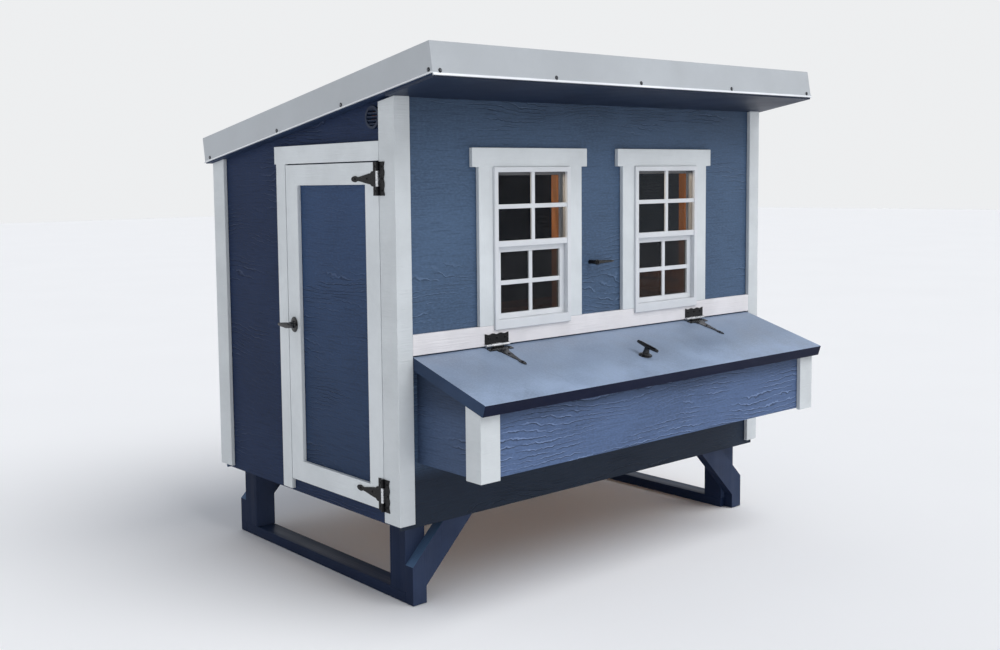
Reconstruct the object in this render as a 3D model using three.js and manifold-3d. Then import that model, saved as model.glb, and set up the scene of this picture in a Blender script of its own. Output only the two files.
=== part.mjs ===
// Raised chicken coop: a boarded house on skids with a hinged door, two
// single-hung windows, a front nest box with a lifting lid and a drop-down ramp door.
// Millimetres. House frame: X runs along the front, Y to the back, Z up; the outer
// front-left corner of the white trim, at its foot, is (0, 0, 0).

import * as THREE from "three";
import { mergeVertices } from "three/addons/utils/BufferGeometryUtils.js";
import Module from "manifold-3d";

const wasm = await Module();
wasm.setup();

// ---- driving dimensions ----
const HOUSE_W = 1860;
const HOUSE_D = 1135;
const GROUND_Z = -277;
const GAP = 0.3;

const TRIM_T = 15;
const SIDING_T = 10;
const STUD = 38;
const SIDING_OUT = TRIM_T;
const SIDING_IN = TRIM_T + SIDING_T;
const STUD_IN = SIDING_IN + STUD;
const SIDING_FOOT_Z = -17;
const SIDE_SIDING_FOOT_Z = -10;
const FRAME_FOOT_Z = SIDE_SIDING_FOOT_Z + 2;

const RIM_TOP_Z = 72;
const DECK_T = 12;
const FLOOR_Z = RIM_TOP_Z + GAP + DECK_T;

const ROOF_FRONT = { y: -201, z: 1481 };
const ROOF_ANGLE = (Math.atan(1 / 6) * 180) / Math.PI;
const ROOF_LENGTH = 1385;
const ROOF_SIDE_OVERHANG = 24;
const FASCIA_H = 95;
const FRONT_FASCIA_H = 102;
const SHEET_TOP = -2;
const DECK_TOP = -14.3;
const RAFTER_TOP = -26.6;
const RAFTER_FOOT = -98.2;
const SOFFIT_FOOT = -107.5;

const CORNER_FRONT_W = 61;
const CORNER_SIDE_W = 81;

const BELT = { z0: 536, z1: 601 };
const WINDOW_W = 356;
const WINDOW_Z0 = 586;
const WINDOW_Z1 = 1121;
const WINDOW_X = 582;
const CASING_W = 62.5;
const HEADER_H = 63;
const HEADER_OVERHANG = 27;

const DOOR = { y0: 84, y1: 620.5, z0: 38, z1: 1140, stile: 72, rail: 70 };
const DOOR_HOLE = { y0: 81, y1: 624, z0: 36, z1: 1144 };
const DOOR_CASING = { jamb: 57, headerZ1: 1205, headerEnd: 691 };
const DOOR_AXIS = { x: -5.6, y: 82.5 };
const DOOR_HANDLE = { y: 584, z: 589 };
const DOOR_HINGE_Z = [88, 1088];

const NEST = { x0: 72, y0: -299, z0: 184, panel: 12, count: 5 };
const NEST_TRIM = { front: 78, side: 67 };
const LID_ANGLE = 17.4;
const LID_BACK = { y: 8, z: 532.4 };
const LID_LENGTH = 356;
const LID_T = 38.5;
const LID_SKIN = 12;
const LID_X0 = 62;
const LID_AXIS = { y: -6, z: 537 };
const LID_HINGE_X = [413, 1447];
const LID_HANDLE = { x: 926, run: 217 };

const POP = { y0: 330, y1: 630, z0: 96, z1: 661 };
const RAMP_T = 24.4;
const RAMP_AXIS = { x: HOUSE_W + 4.5, z: 92 };

const LEG = { x: 67, y: 63.6, w: 80, d: 81 };
const BRACE = { t: 38, w: 89, toe: 56 };
const RUNNER_T = 38;

// ---- colours ----
const BLUE = 0x485c7c;
const DEEP_BLUE = 0x2a3648;
const LID_BLUE = 0x7187a8;
const WHITE = 0xd2d8dc;
const METAL = 0xb8bfc6;
const BLACK = 0x15161a;
const PINE = 0xb98a58;
const GLASS = 0x30404a;

// ---- solid helpers ----
function solid(geometry) {
  const bare = geometry.clone();
  bare.deleteAttribute("normal");
  bare.deleteAttribute("uv");
  const merged = mergeVertices(bare, 1e-4);
  return new wasm.Manifold(
    new wasm.Mesh({
      numProp: 3,
      vertProperties: new Float32Array(merged.attributes.position.array),
      triVerts: new Uint32Array(merged.index.array),
    }),
  );
}

function box(x0, x1, y0, y1, z0, z1) {
  const geometry = new THREE.BoxGeometry(x1 - x0, y1 - y0, z1 - z0);
  geometry.translate((x0 + x1) / 2, (y0 + y1) / 2, (z0 + z1) / 2);
  return solid(geometry);
}

// A polygon swept along an axis. Points are (y, z) for x, (x, z) for y, (x, y) for z.
const SWEEP = {
  x: [0, 1, 0, 0, 0, 1, 1, 0, 0],
  y: [1, 0, 0, 0, 0, 1, 0, -1, 0],
  z: [1, 0, 0, 0, 1, 0, 0, 0, 1],
};
function prism(points, axis, from, to) {
  const shape = new THREE.Shape(points.map(([a, b]) => new THREE.Vector2(a, b)));
  const geometry = new THREE.ExtrudeGeometry(shape, { depth: to - from, bevelEnabled: false });
  geometry.translate(0, 0, axis === "y" ? -to : from);
  const [a, b, c, d, e, f, g, h, i] = SWEEP[axis];
  geometry.applyMatrix4(new THREE.Matrix4().set(a, d, g, 0, b, e, h, 0, c, f, i, 0, 0, 0, 0, 1));
  return solid(geometry);
}

function rod(axis, a, b, from, to, radius, sides = 16) {
  const points = [];
  for (let i = 0; i < sides; i += 1) {
    const t = ((i + 0.5) / sides) * Math.PI * 2;
    points.push([a + radius * Math.cos(t), b + radius * Math.sin(t)]);
  }
  return prism(points, axis, from, to);
}

function join(...parts) {
  return parts.flat().reduce((sum, part) => sum.add(part));
}

function cut(body, ...tools) {
  return tools.flat().reduce((rest, tool) => rest.subtract(tool), body);
}

function mirrorX(body) {
  return body.mirror([1, 0, 0]).translate([HOUSE_W, 0, 0]);
}

const group = new THREE.Group();
group.name = "chicken_coop";

function piece(name, body, color, options = {}) {
  const data = body.getMesh();
  const geometry = new THREE.BufferGeometry();
  geometry.setAttribute("position", new THREE.BufferAttribute(data.vertProperties, 3));
  geometry.setIndex(new THREE.BufferAttribute(data.triVerts, 1));
  const flat = geometry.toNonIndexed();
  flat.computeVertexNormals();
  const material = new THREE.MeshStandardMaterial({ color, roughness: 0.7, ...options });
  const mesh = new THREE.Mesh(flat, material);
  mesh.name = name;
  group.add(mesh);
}

// Bodies drawn flat in the roof plane (x, distance down the slope, height) and tilted into place.
function onRoof(body) {
  return body.rotate([-ROOF_ANGLE, 0, 0]).translate([0, ROOF_FRONT.y, ROOF_FRONT.z]);
}

// Bodies drawn flat on the lid: y is 0 at the lid's back edge and negative towards the front.
function onLid(body) {
  return body.rotate([LID_ANGLE, 0, 0]).translate([0, LID_BACK.y, LID_BACK.z]);
}

const BIG = 3000;
const underRafters = onRoof(box(-BIG, BIG, -BIG, BIG, -BIG, RAFTER_FOOT - GAP));
const underSoffit = onRoof(box(-BIG, BIG, -BIG, BIG, -BIG, SOFFIT_FOOT - GAP));
const underLid = onLid(box(-BIG, BIG, -BIG, BIG, -BIG, -LID_T - GAP));

// ---- base: runners, legs with knee braces, floor ----
function legWithBrace() {
  const top = FRAME_FOOT_Z;
  const post = box(LEG.x, LEG.x + LEG.w, LEG.y, LEG.y + LEG.d, GROUND_Z + RUNNER_T + GAP, top);
  const plumb = BRACE.w * Math.SQRT2;
  const foot = GROUND_Z + 2;
  const brace = prism(
    [
      [LEG.x, foot],
      [LEG.x + BRACE.toe, foot],
      [LEG.x + BRACE.toe, foot + BRACE.toe],
      [LEG.x + top - foot, top],
      [LEG.x + top - foot - plumb, top],
      [LEG.x, foot + plumb],
    ],
    "y",
    LEG.y - BRACE.t,
    LEG.y + 0.5,
  );
  const runnerEnd = box(0, BIG, LEG.y, BIG, GROUND_Z - 9, GROUND_Z + RUNNER_T + GAP);
  return cut(join(post, brace), runnerEnd);
}
const mirrorY = (body) => body.mirror([0, 1, 0]).translate([0, HOUSE_D, 0]);
piece("leg_front_left", legWithBrace(), DEEP_BLUE);
piece("leg_front_right", mirrorX(legWithBrace()), DEEP_BLUE);
piece("leg_back_left", mirrorY(legWithBrace()), DEEP_BLUE);
piece("leg_back_right", mirrorY(mirrorX(legWithBrace())), DEEP_BLUE);

const runner = box(
  LEG.x, LEG.x + LEG.w, LEG.y + GAP, HOUSE_D - LEG.y - GAP, GROUND_Z, GROUND_Z + RUNNER_T,
);
piece("runner_left", runner, DEEP_BLUE);
piece("runner_right", mirrorX(runner), DEEP_BLUE);

const inX0 = SIDING_IN + GAP;
const inX1 = HOUSE_W - SIDING_IN - GAP;
const inY1 = HOUSE_D - SIDING_IN - GAP;
const rimFoot = FRAME_FOOT_Z + GAP;
const joists = [];
for (let i = 1; i <= 3; i += 1) {
  const x = (HOUSE_W * i) / 4;
  joists.push(box(x - STUD / 2, x + STUD / 2, inX0 + 1, inY1 - 1, rimFoot, RIM_TOP_Z));
}
piece(
  "floor_frame",
  join(
    cut(
      box(inX0, inX1, inX0, inY1, rimFoot, RIM_TOP_Z),
      box(inX0 + STUD, inX1 - STUD, inX0 + STUD, inY1 - STUD, rimFoot - 9, RIM_TOP_Z + 9),
    ),
    joists,
  ),
  DEEP_BLUE,
);
piece("floor_deck", box(inX0, inX1, inX0, inY1, RIM_TOP_Z + GAP, FLOOR_Z), PINE);

// ---- walls: siding with its studs and plates ----
const plateZ = FLOOR_Z + GAP;
const WALL_TOP = 1400;

// Studs that span from the floor plate to the roof, in the front or back wall.
function cripples(xs, y0, z0, z1) {
  return xs.map((x) => box(x - STUD / 2, x + STUD / 2, y0, y0 + STUD, z0, z1));
}

const nestHole = { x0: 99, x1: HOUSE_W - 99, z0: 190, z1: 440 };
const frontStuds = [SIDING_IN + GAP + STUD / 2, HOUSE_W / 2, HOUSE_W - SIDING_IN - GAP - STUD / 2];
const windowEdges = [WINDOW_X, HOUSE_W - WINDOW_X].flatMap((x) => [
  x - WINDOW_W / 2 - 9,
  x + WINDOW_W / 2 + 9,
]);
const windowHoles = [WINDOW_X, HOUSE_W - WINDOW_X].map((x) =>
  box(x - WINDOW_W / 2 + 9.7, x + WINDOW_W / 2 - 9.7, -9, 99, WINDOW_Z0 + 9.7, WINDOW_Z1 - 9.7),
);
const wallFront = cut(
  join(
    box(SIDING_OUT, HOUSE_W - SIDING_OUT, SIDING_OUT, SIDING_IN, SIDING_FOOT_Z, WALL_TOP),
    box(inX0, inX1, SIDING_IN - 1, STUD_IN, plateZ, plateZ + STUD),
    box(inX0, inX1, SIDING_IN - 1, STUD_IN, nestHole.z1, nestHole.z1 + STUD),
    box(inX0, inX1, SIDING_IN - 1, STUD_IN, 1290, WALL_TOP),
    cripples([frontStuds[0], frontStuds[2]], SIDING_IN - 1, plateZ, WALL_TOP),
    cripples([frontStuds[1]], SIDING_IN - 1, nestHole.z1, WALL_TOP),
    cripples(windowEdges, SIDING_IN - 1, nestHole.z1, WALL_TOP),
    box(windowEdges[0], windowEdges[1], SIDING_IN - 1, STUD_IN, WINDOW_Z1 - 9.7, WINDOW_Z1 + 28),
    box(windowEdges[2], windowEdges[3], SIDING_IN - 1, STUD_IN, WINDOW_Z1 - 9.7, WINDOW_Z1 + 28),
    box(windowEdges[0], windowEdges[1], SIDING_IN - 1, STUD_IN, WINDOW_Z0 - 28, WINDOW_Z0 + 9.7),
    box(windowEdges[2], windowEdges[3], SIDING_IN - 1, STUD_IN, WINDOW_Z0 - 28, WINDOW_Z0 + 9.7),
  ),
  windowHoles,
  box(nestHole.x0, nestHole.x1, -9, 99, nestHole.z0, nestHole.z1),
);
piece("wall_front", wallFront.intersect(underRafters), BLUE);

const backY = HOUSE_D - SIDING_IN;
const wallBack = join(
  box(SIDING_OUT, HOUSE_W - SIDING_OUT, backY, HOUSE_D - SIDING_OUT, SIDING_FOOT_Z, WALL_TOP),
  box(inX0, inX1, backY - STUD, backY + 1, plateZ, plateZ + STUD),
  box(inX0, inX1, backY - STUD, backY + 1, 1100, WALL_TOP),
  cripples([frontStuds[0], 640, 1220, frontStuds[2]], backY - STUD + 1, plateZ, WALL_TOP),
);
piece("wall_back", wallBack.intersect(underRafters), BLUE);

// Side walls fit between the front and back walls.
const sideY0 = STUD_IN + GAP;
const sideY1 = HOUSE_D - STUD_IN - GAP;
function sideWall(hole, studs) {
  const x0 = SIDING_OUT;
  const x1 = SIDING_IN;
  return cut(
    join(
      box(x0, x1, x1 + GAP, HOUSE_D - x1 - GAP, SIDE_SIDING_FOOT_Z, WALL_TOP),
      box(x1 - 1, STUD_IN, sideY0, sideY1, plateZ, plateZ + STUD),
      box(x1 - 1, STUD_IN, Math.max(hole.y0 - 20, sideY0), hole.y1 + 20, hole.z1 - 20, hole.z1 + 18),
      onRoof(box(x1 - 1, STUD_IN, 200, 1290, RAFTER_FOOT - 26, RAFTER_FOOT + 20)).intersect(
        box(0, 99, sideY0, sideY1, 0, WALL_TOP),
      ),
      studs.map((y) => box(x1 - 1, STUD_IN, y, y + STUD, plateZ, WALL_TOP)),
    ),
    box(-9, x1, hole.y0, hole.y1, hole.z0, hole.z1),
  );
}
const leftHinge = sideY0;
const leftLatch = DOOR_HOLE.y1 - 20;
const ventHole = rod("x", 121, 1279, 0, 99, 27);
const leftDoorway = box(SIDING_IN - 2, 99, leftHinge + STUD, leftLatch, 0, DOOR_HOLE.z1 - 20);
piece(
  "wall_left",
  cut(
    sideWall(DOOR_HOLE, [leftHinge, leftLatch, 860, sideY1 - STUD]).intersect(underRafters),
    ventHole,
    leftDoorway,
  ),
  BLUE,
);
const popStuds = [sideY0, POP.y0 - STUD + 16, POP.y1 - 16, sideY1 - STUD];
const popWay = box(SIDING_IN - 2, 99, POP.y0 + 16, POP.y1 - 16, plateZ - 1, POP.z1 - 18);
piece(
  "wall_right",
  mirrorX(
    cut(
      sideWall({ y0: POP.y0 - 2, y1: POP.y1 + 2, z0: POP.z0 - 2, z1: POP.z1 + 3 }, popStuds)
        .intersect(underRafters),
      popWay,
    ),
  ),
  BLUE,
);

// ---- roof ----
const roofX0 = -ROOF_SIDE_OVERHANG;
const roofX1 = HOUSE_W + ROOF_SIDE_OVERHANG;
const skin = 2;
const inner = skin + GAP;
const coreX0 = roofX0 + inner;
const coreX1 = roofX1 - inner;
const coreV1 = ROOF_LENGTH - inner;
const rafters = [];
for (let i = 0; i <= 4; i += 1) {
  const x = coreX0 + STUD / 2 + ((coreX1 - coreX0 - STUD) * i) / 4;
  rafters.push(box(x - STUD / 2, x + STUD / 2, inner, coreV1, RAFTER_FOOT, RAFTER_TOP + 1));
}
piece(
  "roof_frame",
  onRoof(
    join(
      box(coreX0, coreX1, inner, coreV1, RAFTER_TOP, DECK_TOP),
      box(coreX0, coreX1, inner, inner + 20, RAFTER_FOOT, RAFTER_TOP + 1),
      box(coreX0, coreX1, coreV1 - 20, coreV1, RAFTER_FOOT, RAFTER_TOP + 1),
      rafters,
    ),
  ),
  PINE,
);

// Ribbed metal sheet, its ribs running down the slope.
const PITCH = 228;
const RIB = { foot: 21, top: 9, height: 10 };
const ribCount = 8;
const ribStart = HOUSE_W / 2 - (PITCH * (ribCount - 1)) / 2;
function sheetLine(lift) {
  const line = [[coreX0, SHEET_TOP - RIB.height - 2 + lift]];
  for (let i = 0; i < ribCount; i += 1) {
    const x = ribStart + i * PITCH;
    const low = SHEET_TOP - RIB.height - 2 + lift;
    line.push([x - RIB.foot, low], [x - RIB.top, low + RIB.height]);
    line.push([x + RIB.top, low + RIB.height], [x + RIB.foot, low]);
  }
  line.push([coreX1, SHEET_TOP - RIB.height - 2 + lift]);
  return line;
}
const sheet = prism([...sheetLine(0), ...sheetLine(1.8).reverse()], "y", inner, coreV1);
piece("roof_sheet", onRoof(sheet), METAL, { metalness: 0.6, roughness: 0.45 });

// Wrapped metal trim: face, top flange and a drip hem that flares out at the foot.
const FLANGE = 42;
const HEM = { height: 6, flare: 4 };
const FRONT_HEM = { height: 8, flare: 5 };
function flaredRim(foot) {
  const width = roofX1 - roofX0;
  const geometry = new THREE.BoxGeometry(width, ROOF_LENGTH, HEM.height);
  const corners = geometry.attributes.position;
  for (let i = 0; i < corners.count; i += 1) {
    if (corners.getZ(i) < 0) {
      corners.setX(i, corners.getX(i) * (1 + (2 * HEM.flare) / width));
      corners.setY(i, corners.getY(i) * (1 + (2 * HEM.flare) / ROOF_LENGTH));
    }
  }
  geometry.translate((roofX0 + roofX1) / 2, ROOF_LENGTH / 2, foot + HEM.height / 2);
  return solid(geometry);
}
const frontHem = prism(
  [
    [skin, -FRONT_FASCIA_H],
    [skin, -FASCIA_H + 1],
    [0, -FASCIA_H + 1],
    [0, -FRONT_FASCIA_H + FRONT_HEM.height],
    [-FRONT_HEM.flare, -FRONT_FASCIA_H],
  ].reverse(),
  "x",
  roofX0,
  roofX1,
);
piece(
  "roof_edge_trim",
  onRoof(
    cut(
      join(
        box(roofX0, roofX1, 0, ROOF_LENGTH, -FASCIA_H, 0),
        flaredRim(-FASCIA_H).subtract(box(-BIG, BIG, -BIG, 0, -BIG, BIG)),
        frontHem,
      ),
      box(roofX0 + skin, roofX1 - skin, skin, ROOF_LENGTH - skin, -BIG, -1.5),
      box(roofX0 + FLANGE, roofX1 - FLANGE, FLANGE, ROOF_LENGTH - FLANGE, -9, 9),
    ),
  ),
  METAL,
  { metalness: 0.4, roughness: 0.5 },
);

const soffitBoard = onRoof(box(coreX0, coreX1, inner, 400, SOFFIT_FOOT, RAFTER_FOOT - GAP));
piece("soffit", soffitBoard.intersect(box(-99, 2000, -400, SIDING_OUT - GAP, 1000, 1500)), DEEP_BLUE);

// ---- white trim ----
const trimBack = TRIM_T - GAP;
function cornerTrim(limit) {
  return join(
    box(0, CORNER_FRONT_W, 0, trimBack, 0, WALL_TOP),
    box(0, trimBack, 0, CORNER_SIDE_W, 0, WALL_TOP),
  );
}
const frontCorner = cornerTrim().intersect(underSoffit);
const backCorner = mirrorY(cornerTrim()).intersect(underRafters);
piece("corner_trim_front_left", frontCorner, WHITE);
piece("corner_trim_front_right", mirrorX(frontCorner), WHITE);
piece("corner_trim_back_left", backCorner, WHITE);
piece("corner_trim_back_right", mirrorX(backCorner), WHITE);

const windowXs = { left: WINDOW_X, right: HOUSE_W - WINDOW_X };
const half = WINDOW_W / 2;
piece(
  "belt_trim",
  cut(
    box(CORNER_FRONT_W + GAP, HOUSE_W - CORNER_FRONT_W - GAP, 0, trimBack, BELT.z0, BELT.z1),
    Object.values(windowXs).map((x) => box(x - half - GAP, x + half + GAP, -9, 99, WINDOW_Z0 - GAP, 999)),
  ),
  WHITE,
);

const doorCasing = join(
  box(0, trimBack, CORNER_SIDE_W + GAP, DOOR_CASING.headerEnd, DOOR_HOLE.z1, DOOR_CASING.headerZ1),
  box(0, trimBack, DOOR_HOLE.y1, DOOR_HOLE.y1 + DOOR_CASING.jamb, 0, DOOR_HOLE.z1 + 1),
);
piece("door_casing", doorCasing, WHITE);

// ---- windows ----
const SASH = { y0: 9, y1: 25, stile: 22, top: 862, foot: 617.4, rail: 19 };
const MEETING = { z0: 858, z1: 878 };
const SILL_Z = 617;
const HEAD_Z = 1104;
const JAMB = 17;
const MUNTIN = 15;
for (const [side, x] of Object.entries(windowXs)) {
  const x0 = x - half;
  const x1 = x + half;
  const o0 = x0 + JAMB;
  const o1 = x1 - JAMB;
  piece(
    `window_casing_${side}`,
    join(
      box(x0 - CASING_W, x0 - GAP, 0, trimBack, BELT.z1 + GAP, WINDOW_Z1 + 1),
      box(x1 + GAP, x1 + CASING_W, 0, trimBack, BELT.z1 + GAP, WINDOW_Z1 + 1),
      box(
        x0 - CASING_W - HEADER_OVERHANG, x1 + CASING_W + HEADER_OVERHANG,
        0, trimBack, WINDOW_Z1 + GAP, WINDOW_Z1 + HEADER_H,
      ),
    ),
    WHITE,
  );
  const frame = cut(
    join(
      box(x0, x1, -8, trimBack, WINDOW_Z0, WINDOW_Z1),
      box(x0 + 10, x1 - 10, trimBack - 1, 60, WINDOW_Z0 + 10, WINDOW_Z1 - 10),
    ),
    box(o0, o1, -9, SASH.y1 + GAP, SILL_Z, HEAD_Z),
    box(o0 + 10, o1 - 10, 20, 99, SILL_Z + 10, HEAD_Z - 10),
  );
  const upperMid = (MEETING.z1 + HEAD_Z) / 2;
  piece(
    `window_frame_${side}`,
    join(
      frame,
      box(o0 - 1, o1 + 1, -5, 8, MEETING.z0, MEETING.z1),
      box(x - MUNTIN / 2, x + MUNTIN / 2, -5, 2, MEETING.z1 - 1, HEAD_Z + 1),
      box(o0 - 1, o1 + 1, -5, 2, upperMid - MUNTIN / 2, upperMid + MUNTIN / 2),
    ),
    WHITE,
  );
  piece(
    `upper_glass_${side}`,
    box(o0 + GAP, o1 - GAP, 2 + GAP, 5.3, MEETING.z1 + GAP, HEAD_Z - GAP),
    GLASS,
    { transparent: true, opacity: 0.35, roughness: 0.05 },
  );
  const s0 = o0 + 0.5;
  const s1 = o1 - 0.5;
  const g0 = s0 + SASH.stile;
  const g1 = s1 - SASH.stile;
  const gz0 = SASH.foot + SASH.rail;
  const gz1 = SASH.top - 22;
  const lowerMid = (gz0 + gz1) / 2;
  piece(
    `lower_sash_${side}`,
    join(
      cut(
        box(s0, s1, SASH.y0, SASH.y1, SASH.foot, SASH.top),
        box(g0, g1, -9, 99, gz0, gz1),
      ),
      box(x - MUNTIN / 2, x + MUNTIN / 2, SASH.y0 + 1, SASH.y0 + 7, gz0 - 1, gz1 + 1),
      box(g0 - 1, g1 + 1, SASH.y0 + 1, SASH.y0 + 7, lowerMid - MUNTIN / 2, lowerMid + MUNTIN / 2),
    ),
    WHITE,
  );
  piece(
    `lower_glass_${side}`,
    box(g0 + GAP, g1 - GAP, SASH.y0 + 7 + GAP, SASH.y0 + 10.3, gz0 + GAP, gz1 - GAP),
    GLASS,
    { transparent: true, opacity: 0.35, roughness: 0.05 },
  );
}

// ---- hinges: drawn about a pin on Z, leaf towards -Y, strap towards +Y, screwed down at +X ----
const KNUCKLE = 5;
const PIN = 2.4;
const HINGE_HALF = 52.5;
const STRAP_HALF = 24;
function hingeLeaf(width, face) {
  const points = [];
  const steps = 18;
  for (let i = 0; i <= steps; i += 1) {
    const t = i / steps;
    const scallop = 2 * Math.cos(t * Math.PI * 6);
    points.push([-width + 2 - scallop, HINGE_HALF - t * 2 * HINGE_HALF]);
  }
  points.push([-KNUCKLE - 0.6, -HINGE_HALF], [-KNUCKLE - 0.6, HINGE_HALF]);
  const plate = prism(points, "x", face - 2.2, face);
  const ends = [-1, 1].flatMap((side) => {
    const z0 = side > 0 ? STRAP_HALF + GAP : -HINGE_HALF;
    const z1 = side > 0 ? HINGE_HALF : -STRAP_HALF - GAP;
    return [rod("z", 0, 0, z0, z1, KNUCKLE), box(1, face, -KNUCKLE - 1, -1, z0, z1)];
  });
  return join(plate, ends, rod("z", 0, 0, -HINGE_HALF, HINGE_HALF, PIN));
}
function hingeStrap(length, face) {
  const outline = [
    [KNUCKLE + 1, HINGE_HALF],
    [25, HINGE_HALF],
    [25, STRAP_HALF],
    [34, 23],
    [41, 17],
    [52, 16],
    [68, 13],
    [length - 38, 6],
    [length - 32, 7],
    [length - 24, 10],
    [length - 14, 9],
    [length - 5, 6],
    [length, 0],
  ];
  const lower = outline.slice(0, -1).reverse().map(([y, z]) => [y, -z]);
  return cut(
    join(
      prism([...outline, ...lower], "x", face - 2.2, face),
      rod("z", 0, 0, -STRAP_HALF, STRAP_HALF, KNUCKLE),
      box(1, face, 2, KNUCKLE + 2, -STRAP_HALF, STRAP_HALF),
    ),
    rod("z", 0, 0, -99, 99, PIN + 0.3),
  );
}
DOOR_HINGE_Z.forEach((z, i) => {
  const name = i === 0 ? "lower" : "upper";
  const place = (body) => body.translate([DOOR_AXIS.x, DOOR_AXIS.y, z]);
  piece(`door_hinge_leaf_${name}`, place(hingeLeaf(32, 5.3)), BLACK);
  piece(`door_hinge_strap_${name}`, place(hingeStrap(144, 5.3)), BLACK);
});
const lidDrop = (LID_AXIS.z - LID_BACK.z) * Math.cos((LID_ANGLE * Math.PI) / 180)
  - (LID_AXIS.y - LID_BACK.y) * Math.sin((LID_ANGLE * Math.PI) / 180);
LID_HINGE_X.forEach((x, i) => {
  const name = i === 0 ? "left" : "right";
  const leaf = hingeLeaf(39, -LID_AXIS.y - GAP).rotate([0, 0, 90]).rotate([0, -90, 0]);
  const strap = hingeStrap(144, lidDrop - GAP).rotate([0, 0, 90]).rotate([0, -90, 0]);
  const place = (body) => body.translate([x, LID_AXIS.y, LID_AXIS.z]);
  piece(`lid_hinge_leaf_${name}`, place(leaf), BLACK);
  piece(`lid_hinge_strap_${name}`, place(strap.rotate([LID_ANGLE - 90, 0, 0])), BLACK);
});

// ---- T-handles: drawn with the stem on Z, outside up, the mounting face at z = 0 ----
const HANDLE = { reach: 37, half: 47, stem: 4, hole: 4.8 };
function handleBase() {
  const points = [];
  for (let i = 0; i < 24; i += 1) {
    const t = (i / 24) * Math.PI * 2;
    points.push([21 * Math.cos(t), 27 * Math.sin(t)]);
  }
  return cut(
    join(prism(points, "z", GAP, 3), rod("z", 0, 0, GAP, 10, 10)),
    rod("z", 0, 0, -9, 99, HANDLE.hole),
  );
}
function handleGrip(depth, camLength) {
  const grip = [
    [-HANDLE.half, 2.5],
    [-20, 7.5],
    [-9, 9.5],
    [9, 9.5],
    [20, 7.5],
    [HANDLE.half, 2.5],
  ];
  const below = [...grip].reverse().map(([a, b]) => [a, -b]);
  return join(
    prism([...grip, ...below].reverse(), "z", HANDLE.reach - 6, HANDLE.reach + 5),
    rod("z", 0, 0, 11, HANDLE.reach, 7.5),
    rod("z", 0, 0, -depth, HANDLE.reach, HANDLE.stem),
    box(-6, 6, -camLength, 6, -depth, -depth + 4),
  );
}
// The door's grip runs level with its cam hanging down; turned, the cam catches behind the stud.
const onDoor = (body) =>
  body.rotate([0, 0, 90]).rotate([0, -90, 0]).translate([0, DOOR_HANDLE.y, DOOR_HANDLE.z]);
const DOOR_THROUGH = STUD_IN + 6;
piece("door_handle_base", onDoor(handleBase()), BLACK);
piece("door_handle", onDoor(handleGrip(DOOR_THROUGH, 42).rotate([0, 0, 180])), BLACK);

// ---- door: blue panel behind a white frame ----
const handleHole = rod("x", DOOR_HANDLE.y, DOOR_HANDLE.z, -99, 99, 6);
piece(
  "door_frame",
  cut(
    box(0, trimBack, DOOR.y0, DOOR.y1, DOOR.z0, DOOR.z1),
    box(-9, 99, DOOR.y0 + DOOR.stile, DOOR.y1 - DOOR.stile, DOOR.z0 + DOOR.rail + 3, DOOR.z1 - DOOR.rail),
    handleHole,
  ),
  WHITE,
);
piece(
  "door_panel",
  cut(box(TRIM_T, SIDING_IN - GAP, DOOR.y0, DOOR.y1, DOOR.z0, DOOR.z1), handleHole),
  BLUE,
);

// ---- nest box ----
const nestX0 = NEST.x0 + TRIM_T;
const nestX1 = HOUSE_W - nestX0;
const nestY0 = NEST.y0 + TRIM_T;
const nestFoot = NEST.z0 + 6;
const nestBack = SIDING_OUT - GAP;
// The lid's cam turns in under this block on the front panel.
const keeper = onLid(
  box(LID_HANDLE.x - 50, LID_HANDLE.x + 50, -360, -LID_HANDLE.run - 46, -61, -44),
).intersect(box(0, BIG, nestY0 + 1, BIG, 0, BIG));
piece(
  "nest_box",
  join(
    cut(
      box(nestX0, nestX1, nestY0, nestBack, nestFoot, 600),
      box(
        nestX0 + NEST.panel, nestX1 - NEST.panel, nestY0 + NEST.panel, 99,
        nestFoot + NEST.panel, 700,
      ),
    ).intersect(underLid),
    keeper,
  ),
  BLUE,
);
const nestInX0 = nestX0 + NEST.panel + GAP;
const nestInX1 = nestX1 - NEST.panel - GAP;
const nestFloor = nestFoot + NEST.panel + GAP;
const dividers = [];
for (let i = 1; i < NEST.count; i += 1) {
  const x = nestInX0 + ((nestInX1 - nestInX0) * i) / NEST.count;
  dividers.push(
    box(x - 6, x + 6, nestY0 + NEST.panel + GAP, 14, nestFloor, 600)
      .intersect(onLid(box(-BIG, BIG, -BIG, BIG, -BIG, -LID_T - 8))),
  );
}
piece("nest_dividers", join(box(nestInX0, nestInX1, 0, 14, nestFloor, 270), dividers), PINE);

const nestTrim = join(
  box(NEST.x0, NEST.x0 + NEST_TRIM.front, NEST.y0, NEST.y0 + trimBack, NEST.z0, 600),
  box(NEST.x0, NEST.x0 + trimBack, NEST.y0, NEST.y0 + NEST_TRIM.side, NEST.z0, 600),
).intersect(underLid);
piece("nest_trim_left", nestTrim, WHITE);
piece("nest_trim_right", mirrorX(nestTrim), WHITE);

const lidX1 = HOUSE_W - LID_X0;
const lidRim = 46;
piece(
  "nest_lid",
  onLid(
    cut(
      box(LID_X0, lidX1, -LID_LENGTH, 0, -LID_T, 0),
      box(LID_X0 + lidRim, lidX1 - lidRim, -LID_LENGTH + lidRim, -lidRim, -99, -LID_SKIN),
      rod("z", LID_HANDLE.x, -LID_HANDLE.run, -99, 99, 6),
    ),
  ).intersect(box(-BIG, BIG, -BIG, LID_BACK.y, 0, BIG)),
  LID_BLUE,
);
// The lid's grip runs down the slope with its cam pointing along the box.
const onLidHandle = (body) => onLid(body.translate([LID_HANDLE.x, -LID_HANDLE.run, 0]));
piece("lid_handle_base", onLidHandle(handleBase().rotate([0, 0, 90])), BLACK);
piece("lid_handle", onLidHandle(handleGrip(68, 64).rotate([0, 0, -90])), BLACK);

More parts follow.
